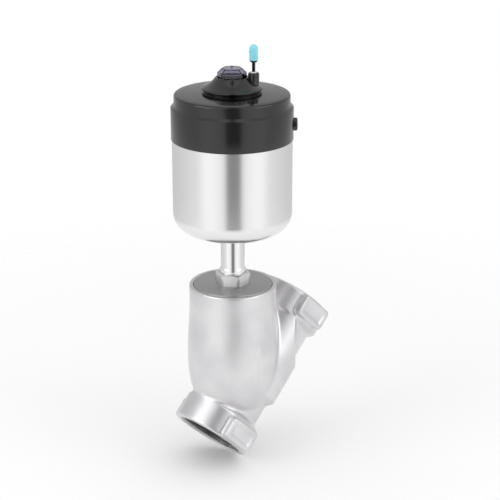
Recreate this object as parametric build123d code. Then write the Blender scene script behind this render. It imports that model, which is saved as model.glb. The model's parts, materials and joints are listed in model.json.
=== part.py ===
from build123d import *
import math
import os

os.makedirs("parts", exist_ok=True)

# Angle seat valve, DN 50, G 2 threaded ends, with a single-acting piston actuator.
# All sizes are in millimetres and degrees.  The stem axis is Z and the pipe axis lies in the
# XZ plane.  Heights are counted up the stem from the point where the two axes cross; the
# export at the end moves the origin to the centre of the inlet port's face.

# Fits
running_gap = 0.05          # radial gap of parts that slide or turn on each other
seated_gap = 0.1            # gap of parts that are pushed or screwed together
loose_gap = 0.3             # gap of parts that clear each other
groove_play = 0.2           # room above and below a ring or pin in its groove
fine_edge = 0.8             # small chamfers on nuts, rims and seals
nut_bevel = 2.2             # run to rise of a nut's turned corners

# Pipe line
pipe_angle = 45.0           # between the stem axis and the pipe axis
inlet_reach = 41.8          # crossing to the inlet face
outlet_reach = 108.2        # crossing to the outlet face
bore_radius = 25.0
port_thread_radius = 28.35  # inside radius of the pipe thread
port_thread_depth = 24.0
collar_radius = 35.5
collar_length = 23.5
collar_chamfer = 1.2
inlet_neck_radius = 30.0
outlet_neck_radius = 30.4
neck_slope = 4.0            # length of the cone between a neck and its collar
belly_height = 32.7         # half height of the outlet chamber, square to the pipe axis
belly_width = 37.0          # half width of the outlet chamber, along Y
belly_start = 7.0           # along the pipe axis, from the crossing
belly_length = 85.0
belly_end_radius = 46.0     # upright cylinder that ends the outlet chamber
belly_end_offset = 14.0     # its axis, from the stem axis towards the outlet

# Spanner pads on the collars
pad_length = 19.5
pad_width = 33.0
pad_proud = 2.6             # pad's flat outside the collar's surface
pad_setback = 1.5           # port face to the pad's near edge
pad_corner = 3.0
pad_turn = -8.0             # about the pipe axis
pad_border = 4.2
pad_recess = 1.2

# Barrel
rim_height = 108.6
rim_radius = 38.2
rim_straight = 12.0         # straight part below the rim
barrel_radius = 40.5        # at its widest
widest_height = 43.0
haunch_radius = 38.2        # where the barrel turns in towards its bottom
haunch_height = 17.0
bottom_height = -12.0
bottom_radius = 12.0
mark_height = 52.0          # middle of the raised flow arrow
mark_turn = -8.0            # about the stem axis, from -Y
mark_proud = 0.7
arrow_shaft_width = 3.2
arrow_shaft_length = 26.0
arrow_head_width = 10.0
arrow_head_length = 9.0

# Seat
seat_height = 18.0
seat_radius = 22.5
seat_lip = 2.6
seat_lip_height = 3.0
chamber_swell = 2.5         # how much wider the chamber is at the barrel's widest
chamber_corner = 4.5
outlet_start = 33.0         # along the pipe axis, where the outlet bore leaves the chamber

# Bonnet, screwed into the barrel
bonnet_radius = 34.4
bonnet_top = 109.3
bonnet_thickness = 15.0
bonnet_chamfer = 1.0
gasket_thickness = 1.0
gasket_width = 2.6
hex_across_flats = 26.6
hex_height = 10.9
hex_turn = 6.0              # of the hexagon about the stem axis
hex_chamfer = 1.4
guide_boss_radius = 14.0
guide_boss_length = 11.0
guide_boss_lip = 2.0

# Stem and what guides it
stem_radius = 6.0
stem_bottom = 31.0
stem_thread_radius = 5.0
stem_edge = 1.0             # chamfer on the stem's lower end
wiper_height = 4.0
bush_radius = 9.0
wiper_lip = 1.2
wiper_lip_depth = 1.5
wiper_lip_slope = 0.7

# Spigot tube between bonnet and actuator
tube_radius = 10.4
tube_bore = 8.3
tube_foot_radius = 11.3
tube_foot_height = 3.0      # above the hexagon
tube_foot_depth = 3.0       # below the hexagon's top
tube_foot_slope = 1.6
tube_length = 48.8          # bonnet's top to the cup's floor
tube_depth = 5.3            # below the bonnet's top
tube_neck_radius = 9.0
tube_neck_bore = 7.4
tube_seal_radius = 11.8
tube_seal_height = 2.2
upper_bush_height = 18.0

# Packing
vee_count = 5
vee_height = 2.4
vee_rise = 1.0
vee_gap = 0.2
packing_end_height = 3.0
packing_wire = 0.7
packing_turns = 6

# Actuator cup and cover
cup_radius = 51.3
cup_wall = 1.5
cup_floor = 2.0
cup_corner = 17.5
cup_depth = 82.5
cup_washer_radius = 15.0
cup_washer_thickness = 1.2
cup_nut_across_flats = 24.0
cup_nut_height = 7.0
cover_overhang = 0.7        # cover outside the cup
cover_tier_height = 26.9    # cup's rim to the cover's step
cover_step_slope = 1.9
cover_step_width = 2.7
cover_edge_rise = 11.7      # step to the top edge
cover_edge_round = 2.2
cover_crown = 1.6
cover_top_thickness = 7.8
cover_bore_step = 3.5       # ledge that holds the liner's top
spigot_length = 13.0
o_ring_wire = 1.3
air_gap = 3.7               # between the cup and the liner
liner_wall = 1.6
liner_overlap = 17.4        # liner above the cup's rim
liner_notch_count = 6
liner_notch_width = 9.0
liner_notch_height = 5.0
air_port_rise = 11.4        # above the cup's rim
air_port_turn = -43.0       # about the stem axis, from +X
air_port_radius = 5.75
air_port_thread_radius = 4.3
air_port_proud = 3.2
air_port_depth = 4.0
air_drilling_radius = 1.1

# Piston
piston_clearance = 2.0      # shut piston above the neck of the tube
piston_height = 16.0
piston_web = 6.0
piston_rim = 7.0
piston_hub_radius = 12.0
piston_o_ring_rise = 6.5    # above the piston's underside
piston_seal_height = 4.0
piston_seal_depth = 3.2
piston_land = 3.0           # piston's underside to the seal's groove
ring_land = 2.4             # between the two ring grooves
lip_tip = 0.8
lip_root = 1.2
lip_depth = 1.8
lip_relief = 0.5
wear_ring_height = 3.6
wear_ring_depth = 1.6
piston_washer_radius = 11.0
piston_washer_thickness = 1.6
piston_nut_across_flats = 17.0
piston_nut_height = 7.0

# Springs over the piston
main_spring_radius = 34.0
main_spring_wire = 2.5
main_spring_turns = 5
inner_spring_radius = 21.0
inner_spring_wire = 1.9
inner_spring_turns = 6

# Indicator
housing_radius = 25.6
housing_foot_radius = 24.2
housing_foot_height = 1.4
housing_flange_height = 2.6
housing_neck_radius = 14.6
housing_rise = 12.4         # cover's top to the housing's rim
housing_dish = 1.8          # how far the dished top sinks below its chord
housing_spigot_radius = 11.9
housing_spigot_length = 11.0
dome_radius = 12.4
dome_wall = 1.2
dome_depth = 2.8            # below the housing's rim
dome_skirt = 1.2            # straight part above the housing's rim
dome_top_radius = 8.6
dome_rise = 8.4             # above the housing's rim
dome_nub_radius = 1.3
dome_nub_height = 0.8
indicator_rod_radius = 3.0
indicator_head_radius = 6.0
indicator_head_height = 2.0
indicator_crown_radius = 2.4
indicator_socket = 6.0      # depth of the rod in the stem
indicator_well_depth = 9.8  # below the housing's rim

# Vent on the indicator housing
vent_offset = 18.1
vent_boss_radius = 4.7
vent_boss_rise = 15.9       # above the cover's top
vent_collet_radius = 2.5
vent_collet_proud = 0.8
vent_collet_length = 4.5
vent_collet_play = 1.2      # room below the collet
vent_collet_edge = 0.3
vent_floor = 1.2
vent_bore = 1.5
silencer_stem_radius = 1.4
silencer_stem_depth = 5.5
silencer_neck = 8.9         # stem above the vent boss
silencer_base_height = 1.4
silencer_radius = 3.6
silencer_foot_radius = 2.6
silencer_round = 3.3        # rounding of the silencer's top
silencer_length = 13.5
silencer_nub_radius = 1.0
silencer_nub_rise = 2.0     # above the capsule's middle

# Plug, hung on the stem so that it can turn
plug_radius = 28.0
plug_height = 9.0
plug_hub_radius = 11.5
plug_hub_height = 16.0
plug_tail_radius = 5.0
plug_tail_end = 1.5         # tail below its nut
plug_slope = 3.0            # bevel of the disc and foot of the hub
seat_seal_height = 4.0
seat_seal_inner = 15.0
seat_seal_inset = 1.5       # seal's edge inside the disc's
seat_seal_lift = 0.02       # shut seal off the seat
retainer_radius = 19.0
retainer_height = 3.0
retainer_edge = 1.0
plug_nut_across_flats = 17.0
plug_nut_height = 8.0
plug_pin_radius = 1.5
plug_groove_radius = 4.0


# Places that follow from the sizes above
pipe_x = math.sin(math.radians(pipe_angle))
pipe_z = math.cos(math.radians(pipe_angle))
origin_shift = (inlet_reach * pipe_x, 0, inlet_reach * pipe_z)
cup_floor_height = bonnet_top + tube_length
cup_rim_height = cup_floor_height + cup_depth
cover_radius = cup_radius + cover_overhang
cover_top_radius = cover_radius - cover_step_width
cover_step_height = cup_rim_height + cover_tier_height
cover_edge_height = cover_step_height + cover_edge_rise
cover_top = cover_edge_height + cover_crown
cover_ceiling = cover_top - cover_top_thickness
bonnet_bottom = bonnet_top - bonnet_thickness
gasket_bottom = bonnet_bottom - gasket_thickness
chamber_radius = bonnet_radius + seated_gap - gasket_width
hex_top = bonnet_top + hex_height
boss_bottom = bonnet_bottom - guide_boss_length
wiper_bottom = boss_bottom + guide_boss_lip
bush_bottom = wiper_bottom + wiper_height
tube_bottom = bonnet_top - tube_depth
packing_bottom = tube_bottom
packing_top = packing_bottom + packing_end_height + vee_count * (vee_height + vee_gap) + packing_end_height
cup_washer_bottom = cup_floor_height + cup_floor + seated_gap
cup_nut_bottom = cup_washer_bottom + cup_washer_thickness
tube_top = cup_nut_bottom + cup_nut_height + 1.0
packing_spring_top = tube_top - upper_bush_height
liner_radius = cup_radius - cup_wall - air_gap
liner_bore = liner_radius - liner_wall
liner_top = cup_rim_height + liner_overlap
cover_bore = liner_bore - cover_bore_step
air_port_height = cup_rim_height + air_port_rise
spigot_radius = cup_radius - cup_wall - seated_gap
spigot_bottom = cup_rim_height - spigot_length
cover_o_ring_height = spigot_bottom + spigot_length / 2
piston_bottom = tube_top + piston_clearance
piston_radius = liner_bore - loose_gap
piston_top = piston_bottom + piston_height
piston_floor = piston_bottom + piston_web
seal_bottom = piston_bottom + piston_land
seal_top = seal_bottom + piston_seal_height
wear_bottom = seal_top + ring_land
wear_top = wear_bottom + wear_ring_height
piston_o_ring_height = piston_bottom + piston_o_ring_rise
piston_nut_bottom = piston_bottom + piston_height + piston_washer_thickness
stem_top = piston_nut_bottom + piston_nut_height + 2.0
plug_bottom = seat_height
plug_face = plug_bottom + seat_seal_height
hub_top = plug_face + plug_height + plug_hub_height
pin_height = plug_face + plug_height + plug_hub_height / 2
plug_nut_bottom = plug_bottom - retainer_height - plug_nut_height
indicator_bottom = stem_top - indicator_socket
housing_top = cover_top + housing_rise
dome_seat = housing_top - dome_depth
dome_shoulder = housing_top + dome_skirt
dome_top = housing_top + dome_rise
indicator_well = housing_top - indicator_well_depth
vent_boss_top = cover_top + vent_boss_rise
silencer_base = vent_boss_top + silencer_neck
silencer_top = silencer_base + silencer_base_height + silencer_length
indicator_top = indicator_well + seated_gap + indicator_head_height


def turned(points):
    """Solid of revolution about the stem axis from (radius, height) points."""
    profile = make_face(Polyline(*[(r, 0, z) for r, z in points], close=True))
    return revolve(profile, Axis.Z, 360)


def ring(inner, outer, bottom, top):
    return turned([(inner, bottom), (outer, bottom), (outer, top), (inner, top)])


def rod(radius, bottom, top):
    return Pos(0, 0, bottom) * Cylinder(radius, top - bottom, align=(Align.CENTER, Align.CENTER, Align.MIN))


def o_ring(radius, height, wire=o_ring_wire):
    return Pos(0, 0, height) * Torus(radius, wire)


def hex_nut(across_flats, bore, bottom, height, bevel=fine_edge):
    """Hexagon nut with its corners turned down at both ends."""
    prism = Pos(0, 0, bottom) * extrude(RegularPolygon(across_flats / 2, 6, major_radius=False), height)
    corner = across_flats / math.sqrt(3)
    inside = corner - nut_bevel * bevel
    blank = turned([
        (bore, bottom), (inside, bottom), (corner, bottom + bevel),
        (corner, bottom + height - bevel), (inside, bottom + height), (bore, bottom + height),
    ])
    return prism & blank


def coil(mean_radius, wire, turns, bottom, top):
    """Compression spring whose ends are ground flat on the two seats."""
    path = Helix((top - bottom) / turns, top - bottom, mean_radius, center=(0, 0, bottom))
    section = Plane(origin=path @ 0, z_dir=path % 0) * Circle(wire)
    wound = sweep(section, path, is_frenet=True)
    return wound & ring(mean_radius - 2 * wire, mean_radius + 2 * wire, bottom, top)


def along_pipe(shape):
    """Lay a shape that was made along Z onto the pipe axis, its Z running to the outlet."""
    return Rot(0, pipe_angle, 0) * shape


def about_stem(angle, shape):
    return Rot(0, 0, angle) * shape


def barrel_skin(proud=0.0):
    """Barrel's outside from rim to bottom, turned about the stem axis and pushed out by proud."""
    shoulder = rim_height - rim_straight
    rim = rim_radius + proud
    widest = barrel_radius + proud
    low = bottom_height - proud
    edges = [
        Line((0, 0, rim_height), (rim, 0, rim_height)),
        Line((rim, 0, rim_height), (rim, 0, shoulder)),
        Spline((rim, 0, shoulder), (widest, 0, widest_height), tangents=[(0, 0, -1), (0, 0, -1)]),
        Spline(
            (widest, 0, widest_height), (haunch_radius + proud, 0, haunch_height), (bottom_radius, 0, low),
            tangents=[(0, 0, -1), (-1, 0, -0.1)]),
        Line((bottom_radius, 0, low), (0, 0, low)),
        Line((0, 0, low), (0, 0, rim_height)),
    ]
    return revolve(make_face(Wire(edges)), Axis.Z, 360)


def pipe_housing():
    """Collars and necks, turned about the pipe axis in one piece."""
    inlet_back = -inlet_reach + collar_length
    outlet_back = outlet_reach - collar_length
    profile = [
        (0, -inlet_reach),
        (collar_radius - collar_chamfer, -inlet_reach),
        (collar_radius, -inlet_reach + collar_chamfer),
        (collar_radius, inlet_back),
        (inlet_neck_radius, inlet_back + neck_slope),
        (outlet_neck_radius, belly_start + belly_height),
        (outlet_neck_radius, outlet_back - neck_slope),
        (collar_radius, outlet_back),
        (collar_radius, outlet_reach - collar_chamfer),
        (collar_radius - collar_chamfer, outlet_reach),
        (0, outlet_reach),
    ]
    return along_pipe(turned(profile))


def outlet_chamber():
    """Oval housing beside the barrel, ended by an upright cylinder."""
    oval = extrude(Ellipse(belly_height, belly_width), belly_length)
    lower_rim = oval.edges().group_by(Axis.Z)[0]
    oval = chamfer(lower_rim, neck_slope)
    upright = Pos(belly_end_offset, 0, bottom_height) * Cylinder(
        belly_end_radius, rim_height - bottom_height, align=(Align.CENTER, Align.CENTER, Align.MIN))
    return along_pipe(Pos(0, 0, belly_start) * oval) & upright


def spanner_pad(middle, side):
    """Flat pad on a collar with a sunk panel; side is -1 or +1 along Y."""
    pad_reach = collar_radius + pad_proud
    outline = RectangleRounded(pad_width, pad_length, pad_corner)
    panel = RectangleRounded(pad_width - 2 * pad_border, pad_length - 2 * pad_border, pad_corner / 2)
    block = extrude(outline, pad_reach)
    block -= Pos(0, 0, pad_reach - pad_recess) * extrude(panel, pad_recess)
    face_out = Plane(origin=(0, 0, middle), x_dir=(1, 0, 0), z_dir=(0, side, 0))
    return along_pipe(Rot(0, 0, pad_turn) * (face_out * block))


def flow_arrow():
    """Raised arrow on the barrel's side, pointing along the flow."""
    shaft = Rectangle(arrow_shaft_width, arrow_shaft_length, align=(Align.CENTER, Align.MAX))
    half = arrow_head_width / 2
    head = make_face(Polyline((-half, 0), (half, 0), (0, arrow_head_length), close=True))
    face_out = Plane(origin=(0, 0, mark_height), x_dir=(1, 0, 0), z_dir=(0, -1, 0))
    arrow = face_out * extrude(shaft + head, 2 * barrel_radius)
    return about_stem(mark_turn, arrow & barrel_skin(mark_proud))


def body_passages():
    """The hollow inside the body: inlet bowl, seat bore, chamber, outlet bore and threads."""
    bowl = Sphere(bore_radius)
    inlet = along_pipe(rod(bore_radius, -inlet_reach, 0))
    seat_bore = rod(seat_radius, 0, seat_height)
    chamber = turned([
        (0, seat_height), (seat_radius + seat_lip, seat_height),
        (seat_radius + seat_lip, seat_height - seat_lip_height),
        (chamber_radius - chamber_corner, seat_height - seat_lip_height),
        (chamber_radius, seat_height - seat_lip_height + chamber_corner),
        (chamber_radius + chamber_swell, widest_height),
        (chamber_radius, gasket_bottom - chamber_corner),
        (chamber_radius, gasket_bottom), (0, gasket_bottom),
    ])
    mouth = rod(bonnet_radius + seated_gap, gasket_bottom, rim_height)
    outlet = along_pipe(rod(bore_radius, outlet_start, outlet_reach))
    hollow = bowl + inlet + seat_bore + chamber + mouth + outlet
    hollow += along_pipe(rod(port_thread_radius, -inlet_reach, -inlet_reach + port_thread_depth))
    hollow += along_pipe(rod(port_thread_radius, outlet_reach - port_thread_depth, outlet_reach))
    return hollow


def valve_body():
    casting = barrel_skin() + outlet_chamber() + pipe_housing() + flow_arrow()
    pad_middle = pad_setback + pad_length / 2
    for middle in (-inlet_reach + pad_middle, outlet_reach - pad_middle):
        for side in (-1, 1):
            casting += spanner_pad(middle, side)
    return casting - body_passages()


def body_gasket():
    return ring(chamber_radius, bonnet_radius, gasket_bottom, bonnet_bottom)


def bonnet():
    """Screwed bonnet: disc, hexagon and the boss that holds wiper and bush."""
    disc = turned([
        (0, bonnet_bottom), (bonnet_radius, bonnet_bottom), (bonnet_radius, bonnet_top - bonnet_chamfer),
        (bonnet_radius - bonnet_chamfer, bonnet_top), (0, bonnet_top),
    ])
    hexagon = about_stem(hex_turn, hex_nut(hex_across_flats, 0, bonnet_top - 1, hex_height + 1, hex_chamfer))
    boss = rod(guide_boss_radius, boss_bottom, bonnet_bottom)
    hole = rod(stem_radius + loose_gap, boss_bottom, wiper_bottom)
    bush_hole = rod(bush_radius, wiper_bottom, tube_bottom)
    tube_hole = rod(tube_radius + seated_gap, tube_bottom, hex_top)
    counterbore = rod(tube_foot_radius + seated_gap, hex_top - tube_foot_depth, hex_top)
    return disc + hexagon + boss - hole - bush_hole - tube_hole - counterbore


def spigot_tube():
    """Tube with a foot collar in the hexagon and a threaded neck that carries the actuator."""
    foot_bottom = hex_top - tube_foot_depth + seated_gap
    return turned([
        (tube_bore, tube_bottom), (tube_radius, tube_bottom), (tube_radius, foot_bottom),
        (tube_foot_radius, foot_bottom), (tube_foot_radius, hex_top + tube_foot_height),
        (tube_radius, hex_top + tube_foot_height + tube_foot_slope),
        (tube_radius, cup_floor_height - tube_seal_height),
        (tube_neck_radius, cup_floor_height - tube_seal_height), (tube_neck_radius, tube_top),
        (tube_neck_bore, tube_top), (tube_neck_bore, packing_spring_top),
        (tube_bore, packing_spring_top),
    ])


def stem_wiper():
    inner = stem_radius + running_gap
    return turned([
        (inner, wiper_bottom), (bush_radius, wiper_bottom), (bush_radius, bush_bottom),
        (inner + wiper_lip, bush_bottom), (inner + wiper_lip, bush_bottom - wiper_lip_depth),
        (inner, bush_bottom - wiper_lip_depth - wiper_lip_slope),
    ])


def guide_bush():
    return ring(stem_radius + running_gap, bush_radius, bush_bottom, tube_bottom)


def vee_profile(bottom, low_rise, high_rise, height):
    """Ring section whose lower and upper faces each rise to a ridge half way across."""
    inner = stem_radius + running_gap
    outer = tube_bore - running_gap
    middle = (inner + outer) / 2
    return [
        (inner, bottom), (middle, bottom + low_rise), (outer, bottom),
        (outer, bottom + height), (middle, bottom + height + high_rise), (inner, bottom + height),
    ]


def packing_base_ring():
    flat = packing_end_height - vee_gap
    return turned(vee_profile(packing_bottom, 0, vee_rise, flat)[:1] + vee_profile(
        packing_bottom, 0, vee_rise, flat)[2:])


def vee_packing():
    rings = []
    for i in range(vee_count):
        bottom = packing_bottom + packing_end_height + i * (vee_height + vee_gap)
        rings.append(turned(vee_profile(bottom, vee_rise, vee_rise, vee_height)))
    return Compound(rings)


def packing_follower():
    bottom = packing_top - packing_end_height
    section = vee_profile(bottom, vee_rise, 0, packing_end_height)
    return turned(section[:4] + section[5:])


def packing_spring():
    mean = (stem_radius + tube_bore) / 2
    return coil(mean, packing_wire, packing_turns, packing_top, packing_spring_top)


def upper_guide_bush():
    return ring(stem_radius + running_gap, tube_neck_bore, packing_spring_top, tube_top)


def tube_seal():
    return ring(tube_neck_radius, tube_seal_radius, cup_floor_height - tube_seal_height, cup_floor_height)


def cup_washer():
    return ring(tube_neck_radius, cup_washer_radius, cup_washer_bottom, cup_nut_bottom)


def cup_nut():
    return hex_nut(cup_nut_across_flats, tube_neck_radius, cup_nut_bottom, cup_nut_height)


def cup_solid(radius, corner, bottom, top):
    blank = rod(radius, bottom, top)
    return fillet(blank.edges().group_by(Axis.Z)[0], corner)


def actuator_cup():
    outside = cup_solid(cup_radius, cup_corner, cup_floor_height, cup_rim_height)
    inside = cup_solid(
        cup_radius - cup_wall, cup_corner - cup_wall, cup_floor_height + cup_floor, cup_rim_height)
    neck_hole = rod(tube_neck_radius + running_gap, cup_floor_height, cup_floor_height + cup_floor)
    return outside - inside - neck_hole


def air_port_axis(shape):
    """Put a shape made along Z onto the air port's axis, its Z pointing out of the cover."""
    outward = Plane(origin=(0, 0, air_port_height), x_dir=(0, 1, 0), z_dir=(1, 0, 0))
    return about_stem(air_port_turn, outward * shape)


def vent_axis(shape):
    return about_stem(air_port_turn, Pos(vent_offset, 0, 0) * shape)


def actuator_cover():
    """Two-tier cover: it seats on the cup's rim and its spigot reaches into the cup."""
    outside = turned([
        (0, spigot_bottom), (spigot_radius, spigot_bottom), (spigot_radius, cup_rim_height),
        (cover_radius, cup_rim_height), (cover_radius, cover_step_height),
        (cover_top_radius, cover_step_height + cover_step_slope),
        (cover_top_radius, cover_edge_height), (housing_foot_radius, cover_top), (0, cover_top),
    ])
    rim = outside.edges().filter_by(GeomType.CIRCLE).sort_by(Axis.Z)
    top_edge = [e for e in rim if abs(e.radius - cover_top_radius) < 0.01][-1]
    outside = fillet(top_edge, cover_edge_round)
    inside = turned([
        (0, spigot_bottom), (liner_radius + seated_gap, spigot_bottom),
        (liner_radius + seated_gap, liner_top), (cover_bore, liner_top),
        (cover_bore, cover_ceiling), (0, cover_ceiling),
    ])
    groove_bottom = cover_o_ring_height - o_ring_wire - seated_gap
    groove_top = cover_o_ring_height + o_ring_wire + seated_gap
    groove = ring(spigot_radius + seated_gap - 2 * o_ring_wire, spigot_radius, groove_bottom, groove_top)
    spindle_hole = rod(housing_spigot_radius + seated_gap, cover_ceiling, cover_top)
    port_hole = air_port_axis(rod(air_port_radius, cover_radius - air_port_depth, cover_radius + 1))
    drilling = about_stem(
        air_port_turn,
        Pos(cover_radius - air_port_depth, 0, 0) * rod(air_drilling_radius, spigot_bottom, air_port_height))
    return outside - inside - groove - spindle_hole - port_hole - drilling


def cover_o_ring():
    return o_ring(spigot_radius + seated_gap - o_ring_wire, cover_o_ring_height)


def cylinder_liner():
    """Cylinder that the piston runs in, notched at its foot so that air reaches the piston."""
    corner_centre = cup_radius - cup_corner
    rise = math.sqrt((cup_corner - cup_wall) ** 2 - (liner_radius - corner_centre) ** 2)
    bottom = cup_floor_height + cup_floor + cup_corner - cup_wall - rise + seated_gap
    tube = ring(liner_bore, liner_radius, bottom, liner_top)
    for i in range(liner_notch_count):
        notch = Pos(liner_radius, 0, bottom) * Box(4 * liner_wall, liner_notch_width, 2 * liner_notch_height)
        tube -= about_stem(i * 360 / liner_notch_count, notch)
    return tube


def air_port_insert():
    outside = rod(air_port_radius - seated_gap, cover_radius - air_port_depth, cover_radius + air_port_proud)
    outside = chamfer(outside.edges().group_by(Axis.Z)[-1], fine_edge)
    thread = rod(air_port_thread_radius, cover_radius - air_port_depth, cover_radius + air_port_proud)
    return air_port_axis(outside - thread)


def indicator_housing():
    """Knob-shaped housing with a dished top, a well for the indicator and the vent boss."""
    flange_bottom = cover_top + housing_foot_height
    flange_top = flange_bottom + housing_flange_height
    below = cover_top - housing_spigot_length
    edges = [
        Line((0, 0, below), (housing_spigot_radius, 0, below)),
        Line((housing_spigot_radius, 0, below), (housing_spigot_radius, 0, cover_top)),
        Line((housing_spigot_radius, 0, cover_top), (housing_foot_radius, 0, cover_top)),
        Line((housing_foot_radius, 0, cover_top), (housing_foot_radius, 0, flange_bottom)),
        Line((housing_foot_radius, 0, flange_bottom), (housing_radius, 0, flange_bottom + fine_edge)),
        Line((housing_radius, 0, flange_bottom + fine_edge), (housing_radius, 0, flange_top - fine_edge)),
        Line((housing_radius, 0, flange_top - fine_edge), (housing_radius - fine_edge, 0, flange_top)),
        ThreePointArc(
            (housing_radius - fine_edge, 0, flange_top),
            ((housing_radius + housing_neck_radius) / 2, 0, (flange_top + housing_top) / 2 - housing_dish),
            (housing_neck_radius, 0, housing_top - fine_edge)),
        Line(
            (housing_neck_radius, 0, housing_top - fine_edge),
            (housing_neck_radius - fine_edge, 0, housing_top)),
        Line((housing_neck_radius - fine_edge, 0, housing_top), (0, 0, housing_top)),
        Line((0, 0, housing_top), (0, 0, below)),
    ]
    shell = revolve(make_face(Wire(edges)), Axis.Z, 360)
    boss = rod(vent_boss_radius, flange_top - 1, vent_boss_top)
    boss = chamfer(boss.edges().group_by(Axis.Z)[-1], fine_edge)
    shell += vent_axis(boss)
    shell -= rod(dome_radius + seated_gap, dome_seat, housing_top)
    shell -= rod(dome_radius - dome_wall - loose_gap, indicator_well, dome_seat)
    shell -= rod(indicator_rod_radius + running_gap, below, indicator_well)
    collet_seat = vent_boss_top - vent_collet_length - vent_collet_play
    shell -= vent_axis(rod(vent_collet_radius + running_gap, collet_seat, vent_boss_top))
    shell -= vent_axis(rod(vent_bore, flange_bottom + vent_floor, collet_seat))
    return shell


def sight_dome():
    outer = [
        (dome_radius - dome_wall, dome_seat), (dome_radius, dome_seat), (dome_radius, dome_shoulder),
        (dome_top_radius, dome_top - fine_edge), (dome_top_radius - fine_edge, dome_top),
        (dome_nub_radius, dome_top), (dome_nub_radius, dome_top + dome_nub_height),
        (0, dome_top + dome_nub_height), (0, dome_top - dome_wall),
        (dome_top_radius - dome_wall, dome_top - dome_wall),
        (dome_radius - dome_wall, dome_shoulder),
    ]
    return turned(outer)


def indicator_rod():
    return rod(indicator_rod_radius, indicator_bottom, indicator_top - indicator_head_height)


def indicator_head():
    bottom = indicator_top - indicator_head_height
    return turned([
        (0, bottom), (indicator_head_radius, bottom), (indicator_head_radius, bottom + fine_edge),
        (indicator_crown_radius, indicator_top), (0, indicator_top),
    ])


def vent_collet():
    bottom = vent_boss_top - vent_collet_length
    collar = turned([
        (silencer_stem_radius + running_gap, bottom), (vent_collet_radius, bottom),
        (vent_collet_radius, vent_boss_top + vent_collet_proud - vent_collet_edge),
        (vent_collet_radius - vent_collet_edge, vent_boss_top + vent_collet_proud),
        (silencer_stem_radius + running_gap, vent_boss_top + vent_collet_proud),
    ])
    return vent_axis(collar)


def silencer_stem():
    bottom = vent_boss_top - silencer_stem_depth
    return vent_axis(turned([
        (0, bottom), (silencer_stem_radius, bottom), (silencer_stem_radius, silencer_base),
        (silencer_foot_radius, silencer_base), (silencer_radius, silencer_base + silencer_base_height),
        (0, silencer_base + silencer_base_height),
    ]))


def silencer_cap():
    bottom = silencer_base + silencer_base_height
    body = rod(silencer_radius, bottom, silencer_top)
    body = fillet(body.edges().group_by(Axis.Z)[-1], silencer_round)
    nub_height = (bottom + silencer_top) / 2 + silencer_nub_rise
    nub = Pos(0, -silencer_radius, nub_height) * Sphere(silencer_nub_radius)
    return vent_axis(body + nub)


def stem():
    groove_half = plug_pin_radius + groove_play
    return turned([
        (0, stem_bottom), (stem_radius - stem_edge, stem_bottom), (stem_radius, stem_bottom + stem_edge),
        (stem_radius, pin_height - groove_half), (plug_groove_radius, pin_height - groove_half),
        (plug_groove_radius, pin_height + groove_half), (stem_radius, pin_height + groove_half),
        (stem_radius, piston_bottom), (stem_thread_radius, piston_bottom),
        (stem_thread_radius, stem_top), (indicator_rod_radius, stem_top),
        (indicator_rod_radius, indicator_bottom), (0, indicator_bottom),
    ])


def piston():
    """Dished piston with two ring grooves, a spring seat and a hub on the stem's thread."""
    blank = turned([
        (stem_thread_radius, piston_bottom), (piston_radius, piston_bottom),
        (piston_radius, piston_top), (piston_radius - piston_rim, piston_top),
        (piston_radius - piston_rim, piston_floor), (piston_hub_radius, piston_floor),
        (piston_hub_radius, piston_top), (stem_thread_radius, piston_top),
    ])
    o_ring_groove = o_ring_wire + groove_play
    blank -= ring(piston_radius - piston_seal_depth, piston_radius, seal_bottom, seal_top)
    blank -= ring(piston_radius - wear_ring_depth, piston_radius, wear_bottom, wear_top)
    blank -= ring(
        stem_thread_radius, stem_thread_radius + 2 * o_ring_wire,
        piston_o_ring_height - o_ring_groove, piston_o_ring_height + o_ring_groove)
    return blank


def piston_seal():
    """Lip seal: a U section that opens towards the air side below."""
    bottom = seal_bottom + groove_play / 2
    top = seal_top - groove_play / 2
    inner = piston_radius - piston_seal_depth
    outer = liner_bore - running_gap
    return turned([
        (inner, bottom), (inner + lip_tip, bottom), (inner + lip_root, bottom + lip_depth),
        (outer - lip_root, bottom + lip_depth), (outer - lip_tip, bottom), (outer, bottom),
        (outer, bottom + lip_depth), (outer - lip_relief, top), (inner, top),
    ])


def piston_wear_ring():
    return ring(
        piston_radius - wear_ring_depth, liner_bore - running_gap,
        wear_bottom + groove_play / 2, wear_top - groove_play / 2)


def piston_o_ring():
    return o_ring(stem_thread_radius + o_ring_wire, piston_o_ring_height)


def piston_washer():
    return ring(stem_thread_radius, piston_washer_radius, piston_top, piston_nut_bottom)


def piston_nut():
    return hex_nut(piston_nut_across_flats, stem_thread_radius, piston_nut_bottom, piston_nut_height)


def main_spring():
    return coil(main_spring_radius, main_spring_wire, main_spring_turns, piston_floor, cover_ceiling)


def inner_spring():
    return coil(inner_spring_radius, inner_spring_wire, inner_spring_turns, piston_floor, cover_ceiling)


def plug_pin_blank(side, radius):
    reach = plug_hub_radius
    across = plug_groove_radius + running_gap + plug_pin_radius
    return Pos(0, side * across, pin_height) * Rot(0, 90, 0) * Cylinder(radius, 2 * reach)


def valve_plug():
    """Disc that holds the soft seal, with a hub over the stem's end and a threaded tail."""
    plug = turned([
        (0, plug_nut_bottom - plug_tail_end), (plug_tail_radius, plug_nut_bottom - plug_tail_end),
        (plug_tail_radius, plug_bottom),
        (seat_seal_inner, plug_bottom), (seat_seal_inner, plug_face), (plug_radius, plug_face),
        (plug_radius, plug_face + plug_height - plug_slope),
        (plug_hub_radius + plug_slope, plug_face + plug_height),
        (plug_hub_radius, plug_face + plug_height + plug_slope), (plug_hub_radius, hub_top),
        (stem_radius + running_gap, hub_top), (stem_radius + running_gap, stem_bottom - loose_gap),
        (0, stem_bottom - loose_gap),
    ])
    for side in (-1, 1):
        plug -= plug_pin_blank(side, plug_pin_radius)
    return plug


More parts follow.
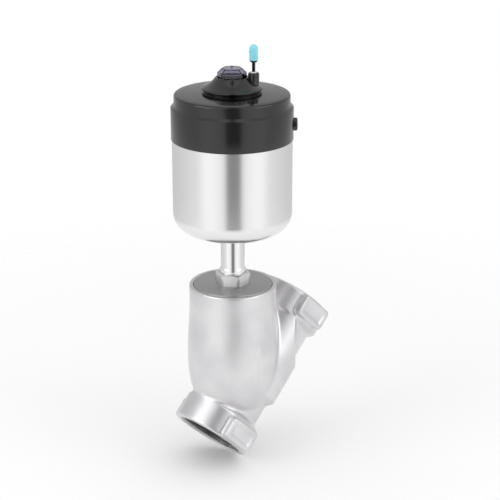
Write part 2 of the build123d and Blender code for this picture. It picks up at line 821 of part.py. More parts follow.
def plug_pins():
    span = rod(plug_hub_radius, pin_height - 2 * plug_pin_radius, pin_height + 2 * plug_pin_radius)
    return Compound([(plug_pin_blank(side, plug_pin_radius) & span).solid() for side in (-1, 1)])


def seat_seal():
    outer = plug_radius - seat_seal_inset
    seal_face = plug_bottom + seat_seal_lift
    return turned([
        (seat_seal_inner, seal_face), (outer - fine_edge, seal_face), (outer, seal_face + fine_edge),
        (outer, plug_face), (seat_seal_inner, plug_face),
    ])


def seal_retainer():
    return turned([
        (plug_tail_radius, plug_bottom - retainer_height),
        (retainer_radius - retainer_edge, plug_bottom - retainer_height),
        (retainer_radius, plug_bottom - retainer_height + retainer_edge), (retainer_radius, plug_bottom),
        (plug_tail_radius, plug_bottom),
    ])


def plug_nut():
    return hex_nut(plug_nut_across_flats, plug_tail_radius, plug_nut_bottom, plug_nut_height)


nodes = {
    "valve_body": valve_body,
    "body_gasket": body_gasket,
    "bonnet": bonnet,
    "spigot_tube": spigot_tube,
    "stem_wiper": stem_wiper,
    "guide_bush": guide_bush,
    "packing_base_ring": packing_base_ring,
    "vee_packing": vee_packing,
    "packing_follower": packing_follower,
    "packing_spring": packing_spring,
    "upper_guide_bush": upper_guide_bush,
    "tube_seal": tube_seal,
    "cup_washer": cup_washer,
    "cup_nut": cup_nut,
    "actuator_cup": actuator_cup,
    "actuator_cover": actuator_cover,
    "cover_o_ring": cover_o_ring,
    "cylinder_liner": cylinder_liner,
    "air_port_insert": air_port_insert,
    "indicator_housing": indicator_housing,
    "sight_dome": sight_dome,
    "main_spring": main_spring,
    "inner_spring": inner_spring,
    "vent_collet": vent_collet,
    "silencer_stem": silencer_stem,
    "silencer_cap": silencer_cap,
    "stem": stem,
    "piston": piston,
    "piston_seal": piston_seal,
    "piston_wear_ring": piston_wear_ring,
    "piston_o_ring": piston_o_ring,
    "piston_washer": piston_washer,
    "piston_nut": piston_nut,
    "indicator_rod": indicator_rod,
    "indicator_head": indicator_head,
    "valve_plug": valve_plug,
    "seat_seal": seat_seal,
    "seal_retainer": seal_retainer,
    "plug_nut": plug_nut,
    "plug_pins": plug_pins,
}

for name, make in nodes.items():
    export_step(Pos(*origin_shift) * make(), f"parts/{name}.step")
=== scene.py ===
import bpy
import json
import math
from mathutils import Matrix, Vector

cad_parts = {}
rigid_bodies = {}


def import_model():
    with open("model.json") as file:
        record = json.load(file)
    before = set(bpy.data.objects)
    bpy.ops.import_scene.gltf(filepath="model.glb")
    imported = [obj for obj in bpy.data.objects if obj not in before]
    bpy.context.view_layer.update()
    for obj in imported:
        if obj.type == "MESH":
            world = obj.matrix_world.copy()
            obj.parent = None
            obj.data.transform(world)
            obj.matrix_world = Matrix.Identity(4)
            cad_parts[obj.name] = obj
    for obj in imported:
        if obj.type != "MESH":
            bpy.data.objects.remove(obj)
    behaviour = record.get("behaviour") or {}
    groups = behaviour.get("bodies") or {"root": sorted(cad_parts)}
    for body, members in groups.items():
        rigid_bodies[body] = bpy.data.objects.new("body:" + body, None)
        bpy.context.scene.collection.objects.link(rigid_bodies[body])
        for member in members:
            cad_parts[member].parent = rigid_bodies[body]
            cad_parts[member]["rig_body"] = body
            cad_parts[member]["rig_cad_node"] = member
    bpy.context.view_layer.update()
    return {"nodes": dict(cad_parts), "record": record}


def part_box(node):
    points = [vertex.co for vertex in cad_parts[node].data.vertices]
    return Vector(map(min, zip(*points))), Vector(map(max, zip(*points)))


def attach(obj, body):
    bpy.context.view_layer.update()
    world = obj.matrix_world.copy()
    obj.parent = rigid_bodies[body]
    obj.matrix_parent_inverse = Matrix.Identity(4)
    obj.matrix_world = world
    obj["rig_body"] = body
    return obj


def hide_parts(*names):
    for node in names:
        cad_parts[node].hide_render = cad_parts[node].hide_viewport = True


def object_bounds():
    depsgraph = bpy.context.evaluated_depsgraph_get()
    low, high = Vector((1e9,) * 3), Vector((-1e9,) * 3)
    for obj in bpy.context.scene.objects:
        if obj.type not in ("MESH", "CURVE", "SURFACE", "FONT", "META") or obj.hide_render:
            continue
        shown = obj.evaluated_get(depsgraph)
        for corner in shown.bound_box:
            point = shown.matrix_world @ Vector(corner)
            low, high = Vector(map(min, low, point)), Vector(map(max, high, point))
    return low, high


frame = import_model()
bpy.context.scene.view_settings.view_transform = "Standard"
print("frame loaded:", len(frame["nodes"]), "nodes")


# Places read from the frame, in metres.

def heightsOf(node):
    low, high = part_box(node)
    return low.z, high.z


def radiusOf(node):
    low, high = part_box(node)
    return (high.x - low.x) / 2


cupLow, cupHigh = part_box("actuator_cup")
stemX = (cupLow.x + cupHigh.x) / 2
crossingZ = stemX                       # the pipe lies at 45 degrees, its inlet face at the origin
mounts = {mount["name"]: mount for mount in frame["record"]["mounts"]}
outletFace = Vector(mounts["outlet_port"]["pos_m"])
pipeLine = outletFace.normalized()


# Shader maths.

class Signal:                           # a node's output, used in plain arithmetic
    def __init__(self, sheet, socket):
        self.sheet = sheet
        self.socket = socket

    def maths(self, operation, first, *rest):
        inputs = {i: value for i, value in enumerate((first, *rest))}
        return self.sheet.node("ShaderNodeMath", {"operation": operation}, inputs)

    def __add__(self, other):
        return self.maths("ADD", self, other)

    def __sub__(self, other):
        return self.maths("SUBTRACT", self, other)

    def __rsub__(self, other):
        return self.maths("SUBTRACT", other, self)

    def __mul__(self, other):
        return self.maths("MULTIPLY", self, other)

    def __pow__(self, other):
        return self.maths("POWER", self, other)

    def largest(self, other):
        return self.maths("MAXIMUM", self, other)

    def ramp(self, low, high):
        inputs = {"Value": self, "From Min": low, "From Max": high}
        return self.sheet.node("ShaderNodeMapRange", {"interpolation_type": "SMOOTHSTEP"}, inputs)

    def levels(self, stops):            # a smooth grey ramp through (place, level) stops
        return self.sheet.node("ShaderNodeValToRGB", {"stops": stops}, {0: self})

    def output(self, name):             # another output of the same node
        return Signal(self.sheet, self.socket.node.outputs[name])

    __radd__ = __add__
    __rmul__ = __mul__


class Sheet:                            # one node tree, of a material or of the world
    def __init__(self, owner):
        owner.use_nodes = True
        self.tree = owner.node_tree
        self.shader = self.tree.nodes.get("Principled BSDF")

    def node(self, kind, settings=None, inputs=None, output=0):
        made = self.tree.nodes.new(kind)
        for name, value in (settings or {}).items():
            if name == "stops":
                self.fillRamp(made.color_ramp, value)
            else:
                setattr(made, name, value)
        for name, value in (inputs or {}).items():
            self.feed(made.inputs[name], value)
        return Signal(self, made.outputs[output])

    def fillRamp(self, ramp, stops):
        ramp.interpolation = "B_SPLINE"
        while len(ramp.elements) < len(stops):
            ramp.elements.new(1.0)
        for element, (place, level) in zip(ramp.elements, stops):
            element.position = place
            element.color = (level, level, level, 1)

    def feed(self, socket, value):
        if isinstance(value, Signal):
            self.tree.links.new(value.socket, socket)
        else:
            socket.default_value = value

    def blend(self, factor, first, second):
        settings = {"data_type": "RGBA"}
        return self.node("ShaderNodeMix", settings, {0: factor, 6: first, 7: second}, output=2)

    def place(self, stretch=(1, 1, 1)):
        spot = self.node("ShaderNodeTexCoord", output=3)
        centre = (-stemX * stretch[0], 0, 0)
        return self.node("ShaderNodeMapping", None, {"Vector": spot, "Location": centre, "Scale": stretch})

    def noise(self, scale, detail=3.0, stretch=(1, 1, 1)):
        inputs = {"Vector": self.place(stretch), "Scale": scale, "Detail": detail}
        return self.node("ShaderNodeTexNoise", None, inputs)

    def bump(self, height, strength, distance):
        return self.node("ShaderNodeBump", None, {"Height": height, "Strength": strength, "Distance": distance})

    def surface(self, **channels):      # underscores stand for the spaces in the sockets' names
        for name, value in channels.items():
            self.feed(self.shader.inputs[name.replace("_", " ")], value)


def grey(level):
    return (level, level, level, 1)


def newFinish(name):
    material = bpy.data.materials.new(name)
    return material, Sheet(material)


castLook = {"light": (0.76, 0.75, 0.76, 1), "dark": (0.65, 0.64, 0.655, 1), "roughness": 0.33, "grain": 900.0,
            "patches": 28.0}


def makeCastSteel():
    material, sheet = newFinish("castSteel")
    patches = sheet.noise(castLook["patches"], 4)
    grain = sheet.noise(castLook["grain"], 2)
    tone = sheet.blend(patches.ramp(0.3, 0.7), castLook["dark"], castLook["light"])
    rough = patches * 0.10 + grain * 0.10 + (castLook["roughness"] - 0.10)
    normal = sheet.bump(grain, 0.35, 0.00025)
    sheet.surface(Base_Color=tone, Metallic=1.0, Roughness=rough, Normal=normal)
    return material


# painted highlight: the steel above the bonnet disc, the hex, gets a lighter grey than the disc so that it shows
# brighter
turnedLook = {"tone": 0.40, "hexPaintedLight": 0.72, "roughness": 0.30, "lines": 2600.0}


def makeTurnedSteel():
    material, sheet = newFinish("turnedSteel")
    spot = sheet.place()
    apart = sheet.node("ShaderNodeSeparateXYZ", None, {0: spot})
    across = apart.output(1)
    reach = (apart * apart + across * across) ** 0.5
    lines = sheet.node("ShaderNodeTexNoise", {"noise_dimensions": "1D"}, {"W": reach * turnedLook["lines"]})
    height = apart.output(2)
    # painted highlight: above this height the turned steel is painted the lighter hex grey instead of its own tone
    hexFrom = heightsOf("valve_body")[1] + 0.0009
    faces = sheet.blend(lines, grey(turnedLook["tone"] * 0.86), grey(turnedLook["tone"] * 1.12))
    tone = sheet.blend(height.ramp(hexFrom, hexFrom + 0.0001), faces, grey(turnedLook["hexPaintedLight"]))
    normal = sheet.bump(lines, 0.25, 0.0001)
    sheet.surface(Base_Color=tone, Metallic=1.0, Roughness=lines * 0.12 + (turnedLook["roughness"] - 0.06),
                  Normal=normal)
    return material


brushedLook = {"tone": 0.82, "roughness": 0.18, "lines": 60.0}


def makeBrushedSteel():
    material, sheet = newFinish("brushedSteel")
    lines = sheet.noise(brushedLook["lines"], 6, stretch=(1, 1, 60))
    tone = sheet.blend(lines, grey(brushedLook["tone"] * 0.96), grey(brushedLook["tone"] * 1.04))
    normal = sheet.bump(lines, 0.12, 0.0001)
    sheet.surface(Base_Color=tone, Metallic=1.0, Roughness=lines * 0.08 + (brushedLook["roughness"] - 0.04),
                  Normal=normal)
    return material


def makePolishedSteel():
    material, sheet = newFinish("polishedSteel")
    smears = sheet.noise(140.0, 3)
    sheet.surface(Base_Color=(0.84, 0.84, 0.85, 1), Metallic=1.0, Roughness=smears * 0.07 + 0.04)
    return material


def makeWireSteel():
    material, sheet = newFinish("wireSteel")
    streaks = sheet.noise(500.0, 3)
    tone = sheet.blend(streaks, grey(0.36), grey(0.50))
    sheet.surface(Base_Color=tone, Metallic=1.0, Roughness=streaks * 0.15 + 0.25)
    return material


blackLook = {"dark": (0.0010, 0.0010, 0.0013, 1), "light": (0.0018, 0.0018, 0.0023, 1), "roughness": 0.15}


def makeBlackPlastic():
    material, sheet = newFinish("blackPlastic")
    grain = sheet.noise(1600.0, 2)
    clouds = sheet.noise(45.0, 3)
    tone = sheet.blend(clouds, blackLook["dark"], blackLook["light"])
    normal = sheet.bump(grain, 0.10, 0.00006)
    sheet.surface(Base_Color=tone, IOR=1.62, Roughness=clouds * 0.10 + (blackLook["roughness"] - 0.05),
                  Normal=normal)
    return material


def makePlainPlastic(name, colour, roughness=0.35, glow=0.0):
    material, sheet = newFinish(name)
    clouds = sheet.noise(160.0, 3)
    darker = (*(0.90 * c for c in colour), 1)
    tone = sheet.blend(clouds, darker, (*colour, 1))
    sheet.surface(Base_Color=tone, Roughness=clouds * 0.12 + (roughness - 0.06))
    if glow:
        sheet.surface(Subsurface_Weight=glow, Subsurface_Radius=(0.004, 0.006, 0.006), Subsurface_Scale=0.3)
    return material


def makeRubber():
    material, sheet = newFinish("sealRubber")
    dust = sheet.noise(300.0, 4)
    tone = sheet.blend(dust.ramp(0.35, 0.75), grey(0.012), grey(0.03))
    sheet.surface(Base_Color=tone, Roughness=dust * 0.2 + 0.5, Normal=sheet.bump(dust, 0.3, 0.0001))
    return material


def makeMetal(name, colour, roughness):
    material, sheet = newFinish(name)
    streaks = sheet.noise(260.0, 4)
    darker = (*(0.82 * c for c in colour), 1)
    tone = sheet.blend(streaks, darker, (*colour, 1))
    sheet.surface(Base_Color=tone, Metallic=1.0, Roughness=streaks * 0.16 + (roughness - 0.08))
    return material


def makeClearPlastic():
    material, sheet = newFinish("clearPlastic")
    haze = sheet.noise(220.0, 2)
    tone = sheet.blend(haze, (0.50, 0.48, 0.60, 1), (0.58, 0.57, 0.70, 1))
    sheet.surface(Base_Color=tone, Roughness=haze * 0.03, Transmission_Weight=1.0, IOR=1.45)
    return material


finishes = {
    "cast_steel": makeCastSteel(),
    "machined_steel": makeTurnedSteel(),
    "polished_tube": makePolishedSteel(),
    "cup_steel": makeBrushedSteel(),
    "spring_steel": makeWireSteel(),
    "aluminium": makeMetal("paleAluminium", (0.70, 0.70, 0.72), 0.34),
    "black_plastic": makeBlackPlastic(),
    "black_rubber": makeRubber(),
    "ptfe": makePlainPlastic("whiteSealPlastic", (0.82, 0.82, 0.79), 0.45),
    "bush_bronze": makeMetal("bushBronze", (0.55, 0.38, 0.19), 0.36),
    "gasket_fibre": makePlainPlastic("gasketSheet", (0.09, 0.10, 0.09), 0.7),
    "clear_dome": makeClearPlastic(),
    "indicator_gold": makeMetal("indicatorGold", (0.78, 0.50, 0.06), 0.22),
    "indicator_cream": makePlainPlastic("creamPlastic", (0.78, 0.70, 0.45), 0.3),
    "white_plastic": makePlainPlastic("whitePlastic", (0.86, 0.86, 0.84), 0.3),
    "cyan_plastic": makePlainPlastic("cyanPlastic", (0.27, 0.74, 0.86), 0.34, 0.3),
}
nodeSlots = {row["node"]: row["material_slot"] for row in frame["record"]["subparts"]}


def dress(piece, slotName):
    piece.data.materials.clear()
    piece.data.materials.append(finishes[slotName])


for nodeName, node in frame["nodes"].items():
    dress(node, nodeSlots[nodeName])
print("finishes made:", len(finishes))


# Modelling helpers.

def bodyNameOf(node):
    for name, members in frame["record"]["behaviour"]["bodies"].items():
        if node in members:
            return name


def clearSelection():
    bpy.ops.object.select_all(action="DESELECT")


def choose(piece):                      # the one selected and active object
    clearSelection()
    piece.select_set(True)
    bpy.context.view_layer.objects.active = piece


def standFor(piece, node, slotName=None):
    slotName = slotName or nodeSlots[node]
    dress(piece, slotName)
    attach(piece, bodyNameOf(node))
    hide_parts(node)


sameSpot = 0.000005                     # vertices nearer than this are one


def tidyMesh():
    bpy.ops.mesh.select_all(action="SELECT")
    bpy.ops.mesh.remove_doubles(threshold=sameSpot)
    bpy.ops.mesh.normals_make_consistent(inside=False)


def smoothShade(piece, degrees=32):
    choose(piece)
    bpy.ops.object.shade_smooth_by_angle(angle=math.radians(degrees))


def applyModifier(piece, name, kind, **settings):
    modifier = piece.modifiers.new(name, kind)
    for key, value in settings.items():
        setattr(modifier, key, value)
    choose(piece)
    bpy.ops.object.modifier_apply(modifier=name)


def settle(piece):                      # place and turn go into the mesh
    choose(piece)
    bpy.ops.object.transform_apply(location=True, rotation=True, scale=True)


def drawOutline(name, points):          # one vertex drawn round through the points, closed on itself
    clearSelection()
    bpy.ops.mesh.primitive_plane_add(size=0.001, location=points[0])
    piece = bpy.context.object
    piece.name = name
    settle(piece)
    bpy.ops.object.mode_set(mode="EDIT")
    bpy.ops.mesh.merge(type="CENTER")
    for here, there in zip(points, points[1:] + points[:1]):
        bpy.ops.mesh.extrude_region_move(TRANSFORM_OT_translate={"value": there - here})
    bpy.ops.mesh.select_all(action="SELECT")
    bpy.ops.mesh.remove_doubles(threshold=sameSpot)
    bpy.ops.mesh.select_all(action="SELECT")
    return piece


def rounded(outline, segments=5):
    # (radius, height, corner) points; a corner above 0 becomes an arc of that radius
    points = []
    count = len(outline)
    for i, (r, z, corner) in enumerate(outline):
        here = Vector((r, z))
        if corner <= 0:
            points.append(here)
            continue
        before = (Vector(outline[i - 1][:2]) - here).normalized()
        after = (Vector(outline[(i + 1) % count][:2]) - here).normalized()
        half = before.angle(after) / 2
        start = here + before * corner / math.tan(half)
        end = here + after * corner / math.tan(half)
        centre = here + (before + after).normalized() * corner / math.sin(half)
        a, b = start - centre, end - centre
        for step in range(segments + 1):
            points.append(centre + a.slerp(b, step / segments).normalized() * corner if step < segments else end)
    return points


def lathe(name, outline, steps=128, axisAt=None, segments=5):
    # the outline is drawn on one side of the axis and spun about it
    axisX, axisY = axisAt or (stemX, 0.0)
    piece = drawOutline(name, [Vector((axisX + p.x, axisY, p.y)) for p in rounded(outline, segments)])
    bpy.ops.mesh.spin(steps=steps, angle=2 * math.pi, center=(axisX, axisY, 0), axis=(0, 0, 1))
    tidyMesh()
    bpy.ops.object.mode_set(mode="OBJECT")
    smoothShade(piece)
    return piece


def copyOfNode(name, node):
    source = frame["nodes"][node]
    piece = source.copy()
    piece.data = source.data.copy()
    piece.name = name
    piece.parent = None
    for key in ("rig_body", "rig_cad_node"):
        if key in piece:
            del piece[key]
    bpy.context.scene.collection.objects.link(piece)
    piece.hide_viewport = piece.hide_render = False
    piece.hide_set(False)
    choose(piece)
    bpy.ops.object.mode_set(mode="EDIT")
    bpy.ops.mesh.select_all(action="SELECT")
    bpy.ops.mesh.remove_doubles(threshold=0.00001)
    bpy.ops.object.mode_set(mode="OBJECT")
    return piece


def crispCopy(name, node, width=0.00025):
    # a copy of a turned or milled node whose sharp edges get a small round
    piece = copyOfNode(name, node)
    applyModifier(piece, "edges", "BEVEL", width=width, segments=2, limit_method="ANGLE", angle_limit=math.radians(28))
    smoothShade(piece, 30)
    standFor(piece, node)
    return piece


def laidOnPipe(piece, along):           # from the stem axis onto the pipe axis, its foot at along
    piece.location = (-stemX, 0, 0)
    settle(piece)
    piece.rotation_euler = (0, math.radians(45), 0)
    piece.location = crossing + pipeLine * along
    settle(piece)
    return piece


def carve(piece, cutter):
    applyModifier(piece, "carve", "BOOLEAN", operation="DIFFERENCE", object=cutter, solver="MANIFOLD")
    bpy.data.objects.remove(cutter)


# Valve body: the casting is rounded in its creases, then its machined faces are cut.

crossing = Vector((stemX, 0, crossingZ))
inletReach = -crossing.length
outletReach = (outletFace - crossing).length
bodyCast = {"voxel": 0.00075, "crease": 0.0013, "smoothing": 3, "kept": 0.35, "shave": 0.0002, "past": 0.004,
            "wide": 0.046, "rimWide": 0.045}
portThread = {"root": 0.0297, "crest": 0.02835, "pitch": 0.002309, "turns": 9, "mouth": 0.0306, "bevel": 0.0016,
              "runOut": 0.0235, "sunk": 0.0002, "footHalf": 0.46, "crestHalf": 0.12, "gap": 0.0006, "steps": 96}
seatSet = {"mouth": 0.03445, "bevel": 0.0006}


def portCutter(faceReach, outward):
    # everything inside the port: a shaved face, a lead-in bevel and the thread's root
    past, wide, face = bodyCast["past"], bodyCast["wide"], -bodyCast["shave"]
    root, runOut = portThread["root"], -portThread["runOut"]
    points = [(0, past, 0), (wide, past, 0), (wide, face, 0), (portThread["mouth"], face, 0),
              (root, -portThread["bevel"], 0), (root, runOut, 0), (0, runOut, 0)]
    cutter = lathe("portCutter", points, steps=160)
    if outward < 0:
        cutter.scale = (1, 1, -1)
        settle(cutter)
    bpy.ops.object.mode_set(mode="EDIT")
    tidyMesh()
    bpy.ops.object.mode_set(mode="OBJECT")
    return laidOnPipe(cutter, faceReach)


def makeCasting():
    piece = copyOfNode("bodyCasting", "valve_body")
    for move in (bodyCast["crease"], -bodyCast["crease"], 0):   # out and back again, which fills the creases
        applyModifier(piece, "skin", "REMESH", mode="VOXEL", voxel_size=bodyCast["voxel"])
        if move:
            applyModifier(piece, "swell", "DISPLACE", strength=move, mid_level=0)
    applyModifier(piece, "relax", "SMOOTH", factor=0.5, iterations=bodyCast["smoothing"])
    applyModifier(piece, "lighten", "DECIMATE", ratio=bodyCast["kept"])
    carve(piece, portCutter(inletReach, -1))
    carve(piece, portCutter(outletReach, 1))
    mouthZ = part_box("body_gasket")[0].z
    past, rimWide = bodyCast["past"], bodyCast["rimWide"]
    mouth, bevel, faceZ = seatSet["mouth"], seatSet["bevel"], rimTop - bodyCast["shave"]
    points = [(0, mouthZ, 0), (mouth, mouthZ, 0), (mouth, faceZ - bevel, 0), (mouth + bevel, faceZ, 0),
              (rimWide, faceZ, 0), (rimWide, rimTop + past, 0), (0, rimTop + past, 0)]
    carve(piece, lathe("rimCutter", points, steps=160))
    smoothShade(piece, 38)
    standFor(piece, "valve_body")
    return piece


def makeThread(name, faceReach, outward):
    # a ridge with a flat crest, wound along the port
    root, crest, pitch = portThread["root"], portThread["crest"], portThread["pitch"]
    foot, half, crestHalf = root + portThread["sunk"], portThread["footHalf"], portThread["crestHalf"]
    ridge = [(foot, half), (foot, -half), (crest, -crestHalf), (crest, crestHalf)]
    piece = drawOutline(name, [Vector((r, 0, h * pitch)) for r, h in ridge])
    bpy.ops.object.mode_set(mode="OBJECT")
    applyModifier(piece, "winding", "SCREW", axis="Z", screw_offset=pitch, iterations=portThread["turns"],
                  steps=portThread["steps"], render_steps=portThread["steps"], use_merge_vertices=False)
    bpy.ops.object.mode_set(mode="EDIT")
    bpy.ops.mesh.select_all(action="SELECT")
    bpy.ops.mesh.fill_holes(sides=0)
    tidyMesh()
    bpy.ops.object.mode_set(mode="OBJECT")
    smoothShade(piece, 25)
    length = portThread["turns"] * pitch
    start = faceReach - outward * (portThread["bevel"] + portThread["gap"]) - (length if outward > 0 else 0)
    piece.location = (stemX, 0, 0)
    settle(piece)
    laidOnPipe(piece, start)
    standFor(piece, "valve_body", "machined_steel")


arrowSet = {"foot": 0.052, "turn": -8, "shaft": 0.0016, "length": 0.026, "half": 0.005, "head": 0.009,
            "grow": 0.0001, "reach": 0.03, "edge": 0.0003}


def makeFlowArrow():
    # the raised arrow, cut from the node itself by a prism of its outline
    shaft, half = arrowSet["shaft"] + arrowSet["grow"], arrowSet["half"] + arrowSet["grow"]
    foot, tip, low = -arrowSet["grow"], arrowSet["head"] + arrowSet["grow"], -arrowSet["length"] - arrowSet["grow"]
    corners = [(-shaft, low), (shaft, low), (shaft, foot), (half, foot), (0, tip), (-half, foot), (-shaft, foot)]
    prism = drawOutline("arrowPrism", [Vector((x, -arrowSet["reach"], z)) for x, z in corners])
    bpy.ops.mesh.edge_face_add()
    bpy.ops.mesh.extrude_region_move(TRANSFORM_OT_translate={"value": (0, -arrowSet["reach"], 0)})
    tidyMesh()
    bpy.ops.object.mode_set(mode="OBJECT")
    prism.rotation_euler = (0, 0, math.radians(arrowSet["turn"]))
    prism.location = (stemX, 0, crossingZ + arrowSet["foot"])
    settle(prism)
    piece = copyOfNode("flowArrow", "valve_body")
    applyModifier(piece, "outline", "BOOLEAN", operation="INTERSECT", object=prism, solver="MANIFOLD")
    bpy.data.objects.remove(prism)
    applyModifier(piece, "edges", "BEVEL", width=arrowSet["edge"], segments=3, limit_method="ANGLE",
                  angle_limit=math.radians(40))
    smoothShade(piece, 40)
    standFor(piece, "valve_body")


rimTop = heightsOf("valve_body")[1]
makeCasting()
makeFlowArrow()
makeThread("inletThread", inletReach, -1)
makeThread("outletThread", outletReach, 1)
print("valve body done")


# Bonnet, neck tube and the machined pieces of the actuator.

turnedPieces = {"bonnetDisc": "bonnet", "neckTube": "spigot_tube", "footWasher": "tube_seal",
                "knob": "indicator_housing", "airStub": "air_port_insert", "ventRing": "vent_collet",
                "silencerNeck": "silencer_stem", "cover": "actuator_cover"}
for pieceName, nodeName in turnedPieces.items():
    crispCopy(pieceName, nodeName)
print("turned pieces done")


# Actuator cup, drawn from sheet.

cupSet = {"wall": 0.0015, "floor": 0.0020, "corner": 0.0175, "hole": 0.00905}


def makeCup():
    low, high = heightsOf("actuator_cup")
    outer = radiusOf("actuator_cup")
    wall, floor, corner = cupSet["wall"], cupSet["floor"], cupSet["corner"]
    outline = [(cupSet["hole"], low, 0.0004), (outer, low, corner), (outer, high, 0), (outer - wall, high, 0),
               (outer - wall, low + floor, corner - wall), (cupSet["hole"], low + floor, 0)]
    piece = lathe("cup", outline, steps=192, segments=16)
    standFor(piece, "actuator_cup")


makeCup()


# Sight dome: a thick clear cap with flat facets and a nub on top.

domeSet = {"wall": 0.0012, "shoulder": 0.0066, "top": 0.0084, "facets": 8, "nub": 0.0013, "nubHeight": 0.0016,
           "nubSunk": 0.0002, "nubRound": 0.0004}


def makeDome():
    low, high = heightsOf("sight_dome")
    outer = radiusOf("sight_dome")
    high -= domeSet["nubHeight"]
    wall = domeSet["wall"]
    shoulder = low + domeSet["shoulder"]
    top = domeSet["top"]
    outline = [(0, high, 0), (top, high, 0), (outer, shoulder, 0), (outer, low, 0), (outer - wall, low, 0),
               (outer - wall, shoulder - wall / 2, 0), (top - wall / 2, high - wall, 0), (0, high - wall, 0)]
    piece = lathe("sightDome", outline, steps=domeSet["facets"])
    nubRadius, nubTop, nubFoot = domeSet["nub"], high + domeSet["nubHeight"], high - domeSet["nubSunk"]
    nub = [(0, nubFoot, 0), (nubRadius, nubFoot, 0), (nubRadius, nubTop, domeSet["nubRound"]), (0, nubTop, 0)]
    cap = lathe("domeNub", nub, steps=32)
    clearSelection()
    cap.select_set(True)
    piece.select_set(True)
    bpy.context.view_layer.objects.active = piece
    bpy.ops.object.join()
    smoothShade(piece, 20)
    standFor(piece, "sight_dome")


makeDome()


# Silencer capsule on the vent.

capsuleSet = {"nub": 0.0011, "nubRise": 0.55, "nubProud": 0.0006}


def makeCapsule():
    low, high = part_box("silencer_cap")
    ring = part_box("vent_collet")
    axisX, axisY = (ring[0].x + ring[1].x) / 2, (ring[0].y + ring[1].y) / 2
    outer = (high.x - low.x) / 2
    outline = [(0, low.z, 0), (outer, low.z, 0.0005), (outer, high.z, outer * 0.94), (0, high.z, 0)]
    piece = lathe("silencerCapsule", outline, steps=64, axisAt=(axisX, axisY), segments=10)
    clearSelection()
    heading = math.radians(cameraSet["azimuth"] + 180)
    reach = outer - capsuleSet["nub"] + capsuleSet["nubProud"]
    spot = (axisX + math.cos(heading) * reach, axisY + math.sin(heading) * reach,
            low.z + (high.z - low.z) * capsuleSet["nubRise"])
    bpy.ops.mesh.primitive_uv_sphere_add(segments=24, ring_count=12, radius=capsuleSet["nub"], location=spot)
    nub = bpy.context.object
    settle(nub)
    applyModifier(piece, "nub", "BOOLEAN", operation="UNION", object=nub, solver="MANIFOLD")
    bpy.data.objects.remove(nub)
    smoothShade(piece, 35)
    standFor(piece, "silencer_cap")


cameraSet = {"azimuth": -44.387, "elevation": 19.80, "distance": 1.300, "lens": 107.45,
             "aimHeight": 0.1392, "aimAside": 0.01504}
makeCapsule()
print("actuator done")


# Camera, light and floor.

def placeCamera():
    azimuth, elevation = math.radians(cameraSet["azimuth"]), math.radians(cameraSet["elevation"])
    side = Vector((math.cos(azimuth), math.sin(azimuth), 0))
    back = Vector((math.sin(azimuth) * math.cos(elevation), -math.cos(azimuth) * math.cos(elevation),
                   math.sin(elevation)))
    aim = Vector((stemX, 0, crossingZ + cameraSet["aimHeight"])) + side * cameraSet["aimAside"]
    data = bpy.data.cameras.new("mainCamera")
    data.lens = cameraSet["lens"]
    data.sensor_width = 36
    camera = bpy.data.objects.new("mainCamera", data)
    camera.location = aim + back * cameraSet["distance"]
    camera.rotation_mode = "QUATERNION"
    camera.rotation_quaternion = (-back).to_track_quat("-Z", "Y")
    data.clip_start, data.clip_end = 0.01, 50
    bpy.context.scene.collection.objects.link(camera)
    bpy.context.scene.camera = camera
    return aim


aimPoint = placeCamera()

# mirrorLevels: what shiny surfaces see, from straight behind the object (0) to the camera's side (1),
# as (place, level): two soft boxes at about 45 degrees with a dark gap between them
studio = {"gapMiddle": 3.0, "mirrorTop": 1.12, "fill": 0.92, "lampSize": 0.9, "lampDistance": 1.3, "lampPower": 3.5,
          "mirrorLevels": [(0.0, 0.55), (0.07, 0.60), (0.30, 0.66), (0.60, 0.76), (0.685, 0.80), (0.77, 0.98),
                           (0.86, 1.0), (0.93, 0.93), (0.965, 0.86), (0.982, 0.72), (0.9885, 0.24), (1.0, 0.22)]}


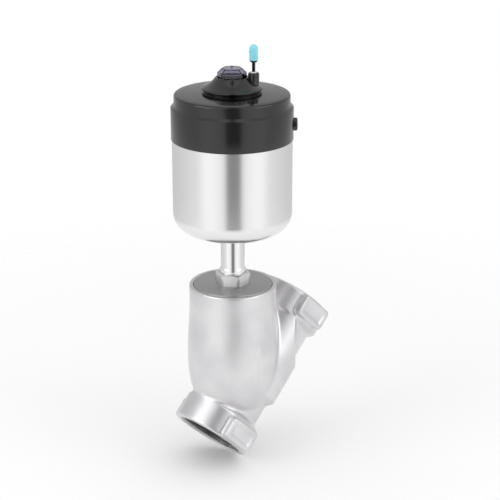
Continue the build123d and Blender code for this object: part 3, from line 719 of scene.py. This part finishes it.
def lightWorld():
    world = bpy.data.worlds.new("studioWorld")
    bpy.context.scene.world = world
    sheet = Sheet(world)
    background = next(n for n in sheet.tree.nodes if n.type == "BACKGROUND")
    heading = math.radians(cameraSet["azimuth"] + studio["gapMiddle"])
    toGap = (math.sin(heading), -math.cos(heading), 0)
    direction = sheet.node("ShaderNodeTexCoord", output=0)
    flat = sheet.node("ShaderNodeVectorMath", {"operation": "MULTIPLY"}, {0: direction, 1: (1, 1, 0)})
    unit = sheet.node("ShaderNodeVectorMath", {"operation": "NORMALIZE"}, {0: flat})
    facing = sheet.node("ShaderNodeVectorMath", {"operation": "DOT_PRODUCT"}, {0: unit, 1: toGap}, output=1)
    mirrorLevel = (facing * 0.5 + 0.5).levels(studio["mirrorLevels"]) * studio["mirrorTop"]
    path = sheet.node("ShaderNodeLightPath")
    seen = path.output("Is Camera Ray")
    mirror = path.output("Is Glossy Ray").largest(path.output("Is Transmission Ray"))
    unseen = mirror * mirrorLevel + (1 - mirror) * studio["fill"]
    level = seen + (1 - seen) * unseen
    background.inputs["Color"].default_value = grey(1)
    sheet.feed(background.inputs["Strength"], level)


def addLamp(name, heading, height, power, size):
    data = bpy.data.lights.new(name, "AREA")
    data.size = size
    data.energy = power
    lamp = bpy.data.objects.new(name, data)
    turn = math.radians(cameraSet["azimuth"] + heading)
    reach = studio["lampDistance"]
    lamp.location = aimPoint + Vector((math.sin(turn) * reach, -math.cos(turn) * reach, height))
    lamp.rotation_mode = "QUATERNION"
    lamp.rotation_quaternion = (aimPoint - lamp.location).to_track_quat("-Z", "Y")
    bpy.context.scene.collection.objects.link(lamp)


def layFloor():
    clearSelection()
    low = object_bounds()[0].z
    bpy.ops.mesh.primitive_circle_add(vertices=96, radius=0.8, fill_type="NGON", location=(stemX, 0, low - 0.0004))
    floor = bpy.context.object
    floor.name = "studioFloor"
    settle(floor)
    material, sheet = newFinish("floorWhite")
    spot = sheet.place()
    reach = sheet.node("ShaderNodeVectorMath", {"operation": "LENGTH"}, {0: spot}, output=1)
    shown = reach.ramp(0.28, 0.75)
    sheet.surface(Base_Color=grey(0.97), Roughness=0.9)
    clear = sheet.node("ShaderNodeBsdfTransparent")
    output = next(n for n in sheet.tree.nodes if n.type == "OUTPUT_MATERIAL")
    mixed = sheet.node("ShaderNodeMixShader", None, {0: shown, 1: Signal(sheet, sheet.shader.outputs[0]), 2: clear})
    sheet.feed(output.inputs["Surface"], mixed)
    floor.data.materials.append(material)


lightWorld()
addLamp("leftLamp", -60, 0.7, studio["lampPower"], studio["lampSize"])
addLamp("rightLamp", 65, 0.6, studio["lampPower"] * 0.7, studio["lampSize"])
layFloor()
print("studio done")
